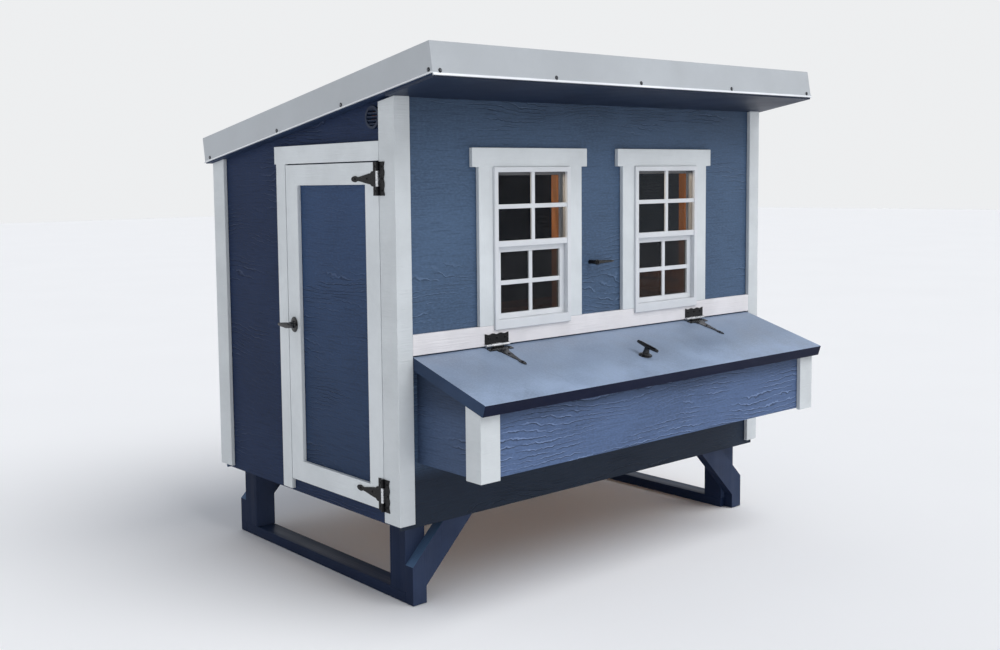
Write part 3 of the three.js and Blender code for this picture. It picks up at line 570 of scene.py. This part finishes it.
for name, skin, inside in (
    ("wall_front", siding_front, lambda p: p.y > SIDING_BACK),
    ("wall_back", siding_back, lambda p: p.y < HOUSE_D - SIDING_BACK),
    ("wall_left", siding_left, lambda p: p.x > SIDING_BACK),
    ("wall_right", siding_right, lambda p: p.x < HOUSE_W - SIDING_BACK),
):
    dress(name, skin, pine_upright, pick=lambda face, inside=inside: int(inside(house_mm(face))))

for side in ("left", "right"):
    for end in ("front", "back"):
        dress(f"leg_{end}_{side}", navy_upright, navy_side, navy_lit, bevel=0.0025, pick=leg_face)
    # The runners' sides, ends and underside get the shaded navy, painted shade.
    dress(
        f"runner_{side}", navy_across, navy_runner, bevel=0.0045,
        pick=lambda face: int(face.normal.z < 0.5),
    )
    dress(f"corner_trim_front_{side}", white_corner, bevel=0.0016)
    dress(f"corner_trim_back_{side}", white_corner, bevel=0.0016)
    dress(
        f"window_casing_{side}", white_upright, white_level, bevel=0.0016, pick=above(WINDOW_HEADER)
    )
    dress(f"window_frame_{side}", white_vinyl, pine_upright, bevel=0.0014, pick=bare_jamb)
    dress(f"lower_sash_{side}", white_vinyl, bevel=0.0012)
    dress(f"upper_glass_{side}", clear_glass)
    dress(f"lower_glass_{side}", screened_glass)
    dress(f"nest_trim_{side}", white_corner, bevel=0.0016)
    dress(f"lid_hinge_leaf_{side}", iron, bright, bevel=0.0005, pick=lid_barrel)
    dress(f"lid_hinge_strap_{side}", polished_iron, bright, bevel=0.0005, pick=lid_barrel)
dress("floor_frame", navy_long, bevel=0.001)
dress("floor_deck", pine_level)
dress("roof_frame", pine_deep, navy_across, pick=roof_outside)
dress("roof_sheet", roof_metal)
# The up-facing hem of the edge trim gets the brighter metal, painted light.
dress(
    "roof_edge_trim", fascia_metal, lit_hem_metal, bevel=0.0012,
    pick=lambda face: int(0.25 < face.normal.z < 0.9),
)
dress("soffit", navy_long, bevel=0.001)
dress("belt_trim", lit_white_belt, bevel=0.0016)
dress("door_casing", white_upright, white_level, bevel=0.0016, pick=above(DOOR_HEADER))
dress("door_frame", white_upright, white_level, bevel=0.0018, pick=door_rail)
dress(
    "door_panel", siding_door, pine_upright,
    pick=lambda face: int(house_mm(face).x > DOOR_PANEL_BACK),
)
dress("nest_box", siding_nest, pine_level, siding_nest_end_shaded, pick=nest_face)
dress("nest_dividers", pine_deep)
dress("nest_lid", lid_paint, navy_edge_shaded, navy_end_shaded, bevel=0.003, pick=lid_face)
for level in ("lower", "upper"):
    dress(f"door_hinge_leaf_{level}", iron, bevel=0.0005)
    dress(f"door_hinge_strap_{level}", iron, bright, bevel=0.0005, pick=door_barrel)
dress("gable_vent", navy_long, bevel=0.0006)
dress("pop_casing", white_upright, bevel=0.0016)
dress(
    "ramp_panel", siding_door, pine_level, bevel=0.001,
    pick=lambda face: int(face.normal.x < 0.5),
)
dress("ramp_hinge_leaf", iron, bevel=0.0004)
dress("ramp_hinge_strap", iron, bevel=0.0004)
dress("ramp_button", white_level, bevel=0.0015)
dress("roost", pine_level, bevel=0.003)

# ---------------------------------------------------------------- hardware in mesh code


def basis(x_axis, y_axis, z_axis, origin):
    """A place for a small part drawn in millimetres, with its axes along the given directions."""
    turn = Matrix((x_axis, y_axis, z_axis)).transposed().to_4x4()
    return Matrix.Translation(origin) @ turn @ Matrix.Scale(0.001, 4)


def facing(direction, origin, spin):
    """A place whose Z looks along a direction, turned about it by spin degrees."""
    z_axis = Vector(direction).normalized()
    x_axis = z_axis.cross(Y if abs(z_axis.y) < 0.9 else X).normalized()
    y_axis = z_axis.cross(x_axis)
    return basis(x_axis, y_axis, z_axis, origin) @ Matrix.Rotation(math.radians(spin), 4, "Z")


def ring_solid(mesh, rings, material=0):
    """A closed solid through a list of equal rings of points, capped at both ends."""
    rows = [[mesh.verts.new(p) for p in ring] for ring in rings]
    count = len(rows[0])
    for low, high in zip(rows, rows[1:]):
        for i in range(count):
            j = (i + 1) % count
            mesh.faces.new((low[i], low[j], high[j], high[i])).material_index = material
    mesh.faces.new(reversed(rows[0])).material_index = material
    mesh.faces.new(rows[-1]).material_index = material


def circle(radius, z, sides, squash):
    """The points of a ring about Z, oval where squash isn't 1."""
    turns = [2 * math.pi * i / sides for i in range(sides)]
    return [Vector((radius * math.cos(t), radius * squash * math.sin(t), z)) for t in turns]


def lathe(mesh, place, profile, sides, squash=1.0, material=0):
    """Turns (radius, height) steps about Z; squash makes the rings oval."""
    rings = [[place @ p for p in circle(r, z, sides, squash)] for r, z in profile]
    ring_solid(mesh, rings, material)


def loft_bar(mesh, place, stations, sides=12):
    """A bar along X through oval sections of (x, half width, half height, centre height)."""
    rings = []
    for x, wide, high, centre in stations:
        ring = []
        for i in range(sides):
            t = 2 * math.pi * i / sides
            ring.append(place @ Vector((x, wide * math.cos(t), centre + high * math.sin(t))))
        rings.append(ring)
    ring_solid(mesh, rings)


def slab(mesh, place, low, high, material):
    """A rectangular block with its edges eased by half a millimetre."""
    ease = 0.5
    rings = []
    for z, inset in ((low[2], ease), (low[2] + ease, 0), (high[2] - ease, 0), (high[2], ease)):
        x0, y0 = low[0] + inset, low[1] + inset
        x1, y1 = high[0] - inset, high[1] - inset
        corners = ((x0, y0, z), (x1, y0, z), (x1, y1, z), (x0, y1, z))
        rings.append([place @ Vector(p) for p in corners])
    ring_solid(mesh, rings, material)


def finish_piece(name, mesh, materials, body, replaced=(), sharp=40):
    """Turns the drawn mesh into a piece of the model, with edges sharp from so many degrees."""
    bmesh.ops.recalc_face_normals(mesh, faces=mesh.faces[:])
    data = bpy.data.meshes.new(name)
    mesh.to_mesh(data)
    mesh.free()
    for material in materials:
        data.materials.append(material)
    thing = bpy.data.objects.new(name, data)
    bpy.context.scene.collection.objects.link(thing)
    data.shade_smooth()
    data.set_sharp_from_angle(angle=math.radians(sharp))
    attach(thing, body)
    if replaced:
        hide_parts(*replaced)


# Turned outlines of the screws: radius and height.
PAN_HEAD = ((3.9, 0.0), (4.0, 0.7), (3.4, 1.6), (2.2, 2.1), (1.5, 2.2), (1.2, 1.0))
WASHER_HEAD = ((6.6, 0.0), (6.8, 0.5), (6.0, 1.3), (4.6, 1.5))
HEX_HEAD = ((4.3, 1.4), (4.5, 1.7), (4.5, 3.2), (4.0, 3.8))

# Degrees that each screw is turned past the one before, so that they don't all look alike.
PAN_TURN = 37
HEX_TURN = 23


def pan_screws(name, spots, body):
    """Round-headed screws with a driver recess, at (direction, origin) spots."""
    mesh = bmesh.new()
    for i, (direction, origin) in enumerate(spots):
        lathe(mesh, facing(direction, origin, PAN_TURN * i), PAN_HEAD, 14)
    finish_piece(name, mesh, [iron], body)


def hex_screws(name, spots, body):
    """Sheet-metal screws: a hexagon head on a domed sealing washer."""
    mesh = bmesh.new()
    for i, (direction, origin) in enumerate(spots):
        place = facing(direction, origin, HEX_TURN * i)
        lathe(mesh, place, WASHER_HEAD, 16, material=1)
        lathe(mesh, place, HEX_HEAD, 6)
    finish_piece(name, mesh, [weathered_zinc, rubber], body)


# T-handles: an oval plate with a boss and two screws, and a crossbar on a waisted stem.
GRIP_BAR = (
    (-47.0, 2.0, 2.0, 35.0),
    (-46.0, 4.6, 4.4, 35.0),
    (-42.0, 6.0, 5.6, 35.0),
    (-30.0, 7.2, 6.4, 35.0),
    (-16.0, 8.6, 6.8, 34.8),
    (0.0, 10.2, 7.0, 34.4),
    (16.0, 8.6, 6.8, 34.8),
    (30.0, 7.2, 6.4, 35.0),
    (42.0, 6.0, 5.6, 35.0),
    (46.0, 4.6, 4.4, 35.0),
    (47.0, 2.0, 2.0, 35.0),
)
GRIP_STEM = (
    (10.4, 10.7),
    (11.4, 11.6),
    (11.0, 14.5),
    (9.8, 20.0),
    (9.2, 26.0),
    (9.6, 31.0),
    (9.6, 35.0),
)
ESCUTCHEON = ((27.0, 0.3), (27.0, 1.8), (26.0, 3.2), (21.0, 4.4), (14.0, 5.0))
BOSS = ((14.0, 3.6), (13.2, 6.4), (12.0, 8.8), (11.4, 10.2), (5.2, 10.4), (4.9, 9.0))
COLLAR = ((7.6, 9.6), (7.6, 10.4), (6.2, 10.5), (4.5, 10.5))
OVAL_SCREW = ((3.3, 0.0), (3.3, 1.2), (2.4, 2.0), (1.3, 2.0), (1.0, 1.0))
OVAL_SCREW_SPOTS = ((-19.0, 0, 2.6), (19.0, 0, 2.6))


def t_grip(name, place, depth, cam_length, body, node):
    """The part that turns: crossbar and stem, and behind the skin a shaft with its cam."""
    shaft = ((3.6, -depth), (4.0, -depth + 0.6), (4.0, 14.0), (3.6, 14.4))
    mesh = bmesh.new()
    loft_bar(mesh, place, GRIP_BAR, 14)
    lathe(mesh, place, GRIP_STEM, 20)
    lathe(mesh, place, shaft, 16, material=1)
    slab(mesh, place, (-6, -cam_length, -depth), (6, 6, -depth + 4), material=1)
    finish_piece(name, mesh, [polished_iron, weathered_zinc], body, (node,), 32)


def t_base(name, place, body, node):
    """The part that stays: the oval plate with its boss."""
    mesh = bmesh.new()
    lathe(mesh, place, ESCUTCHEON, 32, squash=0.78)
    lathe(mesh, place, BOSS, 24)
    lathe(mesh, place, COLLAR, 20, material=1)
    for spot in OVAL_SCREW_SPOTS:
        lathe(mesh, place @ Matrix.Translation(spot), OVAL_SCREW, 12)
    finish_piece(name, mesh, [polished_iron, bright], body, (node,), 32)


door_hub = at(0, *DOOR_HANDLE)
lid_hub = on_lid(*LID_HANDLE, 0)
door_plate_place = basis(Z, Y, -X, door_hub)
door_grip_place = basis(-Y, Z, -X, door_hub)
lid_plate_place = basis(X, -LID_DOWNHILL, LID_UP, lid_hub)
lid_grip_place = basis(LID_DOWNHILL, X, LID_UP, lid_hub)
DOOR_SHAFT = {"depth": 69, "cam_length": 42}
LID_SHAFT = {"depth": 68, "cam_length": 64}
t_base("door_handle_plate", door_plate_place, "door", "door_handle_base")
t_grip("door_t_grip", door_grip_place, **DOOR_SHAFT, body="door_handle", node="door_handle")
t_base("lid_handle_plate", lid_plate_place, "nest_lid", "lid_handle_base")
t_grip("lid_t_grip", lid_grip_place, **LID_SHAFT, body="lid_handle", node="lid_handle")

# The catch: a forged tapering bar with an eye, which turns on a round-headed screw.
CATCH_BAR = (
    (7.0, 6.0, 2.2, 20),
    (12, 6.8, 3.0, 20),
    (30, 6.2, 3.2, 20),
    (55, 5.2, 3.1, 20),
    (72, 4.4, 2.8, 20),
    (81, 3.4, 2.3, 20),
    (87, 2.0, 1.5, 20),
    (89.6, 0.7, 0.8, 20),
)
EYE_SECTION = ((4.3, 17.2), (8.4, 17.0), (9.4, 18.0), (9.4, 22.0), (8.4, 23.0), (4.3, 22.8))
EYE_SIDES = 24
PIVOT_SHANK = ((7.0, -14.6), (7.2, 14.0), (6.0, 16.0), (3.9, 16.2), (3.9, 23.8))
PIVOT_HEAD = ((8.6, 24.0), (9.0, 24.6), (8.2, 26.4), (5.6, 27.7), (2.6, 28.0), (2.0, 26.2))


def eye(mesh, place):
    """A ring about Z, closed where its last section meets its first."""
    rows = []
    for side in range(EYE_SIDES + 1):
        t = 2 * math.pi * side / EYE_SIDES
        outwards = Vector((math.cos(t), math.sin(t), 0))
        points = [outwards * r + Vector((0, 0, h)) for r, h in EYE_SECTION]
        rows.append([mesh.verts.new(place @ p) for p in points])
    count = len(EYE_SECTION)
    for low, high in zip(rows, rows[1:]):
        for i in range(count):
            j = (i + 1) % count
            mesh.faces.new((low[i], low[j], high[j], high[i]))
    bmesh.ops.remove_doubles(mesh, verts=mesh.verts[:], dist=0.00001)


catch_place = basis(X, Z, -Y, at(CATCH[0], 0, CATCH[1]))
mesh = bmesh.new()
loft_bar(mesh, catch_place, CATCH_BAR)
eye(mesh, catch_place)
finish_piece("lid_catch_bar", mesh, [polished_iron], "lid_catch", ("lid_catch",), 35)
mesh = bmesh.new()
lathe(mesh, catch_place, PIVOT_SHANK, 18)
lathe(mesh, catch_place, PIVOT_HEAD, 20)
finish_piece("lid_catch_pivot", mesh, [iron], "house", ("lid_catch_screw",), 35)

# Hinge screws: their places on the fixed leaf, and on the strap away from the hinge's axis.
OFF_LEAF = 2.4
LEAF_SCREWS = (-37, 0, 37)
STRAP_SCREWS = ((16, -38), (16, 38), (60, 0), (124, 0))
DOOR_LEAF_Y = 63
LID_LEAF_Z = 561
LID_STRAP_RUN = 12
pan_screws(
    "door_leaf_screws",
    [(-X, at(-OFF_LEAF, DOOR_LEAF_Y, z + rise)) for z in DOOR_HINGES for rise in LEAF_SCREWS],
    "house",
)
pan_screws(
    "door_strap_screws",
    [
        (-X, at(-OFF_LEAF, DOOR_AXIS[1] + along, z + rise))
        for z in DOOR_HINGES
        for along, rise in STRAP_SCREWS
    ],
    "door",
)
pan_screws(
    "lid_leaf_screws",
    [(-Y, at(x + side, -OFF_LEAF, LID_LEAF_Z)) for x in LID_HINGES for side in LEAF_SCREWS],
    "house",
)
pan_screws(
    "lid_strap_screws",
    [
        (LID_UP, on_lid(x + side, LID_STRAP_RUN + along, OFF_LEAF))
        for x in LID_HINGES
        for along, side in STRAP_SCREWS
    ],
    "nest_lid",
)

# Screws through the metal edge trim and down the ribs of the roof.
ROOF_LENGTH = 1385
EAVE = 24
FRONT_SCREWS = -87
TRIM_SCREWS = -82
FIRST_RIB = 132
RIB_PITCH = 228
RIB_COUNT = 8
RIB_TOP = -2.4
front_xs = (5, 480, 883, 1380, 1857)
back_xs = (5, 480, 930, 1380, 1857)
rake_runs = (17, 465, 858, 1345)
rib_runs = (90, 390, 690, 990, 1300)
front_spots = [(-ROOF_DOWNHILL, on_roof(x, 0, FRONT_SCREWS)) for x in front_xs]
back_spots = [(ROOF_DOWNHILL, on_roof(x, ROOF_LENGTH, TRIM_SCREWS)) for x in back_xs]
rake_spots = [(-X, on_roof(-EAVE, run, TRIM_SCREWS)) for run in rake_runs]
rake_spots += [(X, on_roof(HOUSE_W + EAVE, run, TRIM_SCREWS)) for run in rake_runs]
hex_screws("edge_trim_screws", front_spots + back_spots + rake_spots, "house")
rib_spots = [
    (ROOF_UP, on_roof(FIRST_RIB + RIB_PITCH * i, run, RIB_TOP))
    for i in range(RIB_COUNT)
    for run in rib_runs
]
hex_screws("roof_screws", rib_spots, "house")

# ---------------------------------------------------------------- floor, light and camera


def stage_floor():
    """A wide pale floor."""
    mesh = bpy.data.meshes.new("studio_floor")
    size = 40.0
    corners = [(-size, -size, 0), (size, -size, 0), (size, size, 0), (-size, size, 0)]
    mesh.from_pydata(corners, [], [(0, 1, 2, 3)])
    floor = bpy.data.objects.new("studio_floor", mesh)
    bpy.context.scene.collection.objects.link(floor)
    g = Graph("studio_floor")
    tone = g.noise(g.coords, scale=0.8, detail=2.0)
    mesh.materials.append(
        g.finish(g.mix(tone, (0.91, 0.91, 0.915, 1), (0.94, 0.94, 0.945, 1)), 0.9)
    )


def softbox(name, location, target, size, power, colour):
    """A rectangular lamp that the camera doesn't see."""
    lamp = bpy.data.lights.new(name, "AREA")
    lamp.shape = "RECTANGLE"
    lamp.size, lamp.size_y = size
    lamp.energy = power
    lamp.color = colour
    lamp.spread = math.radians(110)
    light = bpy.data.objects.new(name, lamp)
    light.location = location
    light.rotation_euler = (Vector(target) - Vector(location)).to_track_quat("-Z", "Y").to_euler()
    light.visible_camera = False
    bpy.context.scene.collection.objects.link(light)


def studio_world(horizon, ceiling):
    """An even pale surround that darkens towards the ceiling."""
    world = bpy.data.worlds.new("studio")
    world.use_nodes = True
    tree = world.node_tree
    direction = tree.nodes.new("ShaderNodeTexCoord").outputs["Generated"]
    split = tree.nodes.new("ShaderNodeSeparateXYZ")
    tree.links.new(direction, split.inputs[0])
    climb = tree.nodes.new("ShaderNodeMapRange")
    climb.interpolation_type = "SMOOTHSTEP"
    tree.links.new(split.outputs["Z"], climb.inputs["Value"])
    climb.inputs["From Min"].default_value = 0.28
    climb.inputs["From Max"].default_value = 0.60
    blend = tree.nodes.new("ShaderNodeMix")
    blend.data_type = "RGBA"
    tree.links.new(climb.outputs["Result"], blend.inputs[0])
    blend.inputs[6].default_value = horizon
    blend.inputs[7].default_value = ceiling
    tree.links.new(blend.outputs[2], tree.nodes["Background"].inputs["Color"])
    bpy.context.scene.world = world


def soft_sun(direction, strength, spread):
    """A wide overhead light, spread over so many degrees of the sky."""
    lamp = bpy.data.lights.new("overhead", "SUN")
    lamp.energy = strength
    lamp.angle = math.radians(spread)
    light = bpy.data.objects.new("overhead", lamp)
    light.rotation_euler = Vector(direction).to_track_quat("Z", "Y").to_euler()
    bpy.context.scene.collection.objects.link(light)


stage_floor()
studio_world(horizon=(0.85, 0.86, 0.87, 1), ceiling=(0.34, 0.36, 0.40, 1))
soft_sun(direction=(0.30, -0.62, 1.0), strength=1.9, spread=45)
softbox(
    "interior", at(300, 620, 1120), at(1400, 60, 850),
    size=(0.25, 0.2), power=3.2, colour=(1.0, 0.82, 0.62),
)
bpy.context.scene.view_settings.view_transform = "Standard"

# A level lens at the height of the windows, to the left of the front.
VIEW = {"yaw": 0.6733, "pitch": -0.0839, "roll": -0.0146, "from": (-2124.1, -2760.8, 1078.3)}
forward = Vector(
    (
        math.sin(VIEW["yaw"]) * math.cos(VIEW["pitch"]),
        math.cos(VIEW["yaw"]) * math.cos(VIEW["pitch"]),
        math.sin(VIEW["pitch"]),
    )
)
right = Vector((math.cos(VIEW["yaw"]), -math.sin(VIEW["yaw"]), 0))
up = right.cross(forward)
roll = VIEW["roll"]
camera_x = right * math.cos(roll) + up * math.sin(roll)
camera_y = up * math.cos(roll) - right * math.sin(roll)
lens = bpy.data.cameras.new("photo_view")
lens.sensor_width = 36
lens.lens = 41.089
lens.shift_x = 0.0837
lens.shift_y = -0.0477
camera = bpy.data.objects.new("photo_view", lens)
camera.matrix_world = Matrix.Translation(at(*VIEW["from"])) @ Matrix(
    (camera_x, camera_y, -forward)
).transposed().to_4x4()
bpy.context.scene.collection.objects.link(camera)
bpy.context.scene.camera = camera
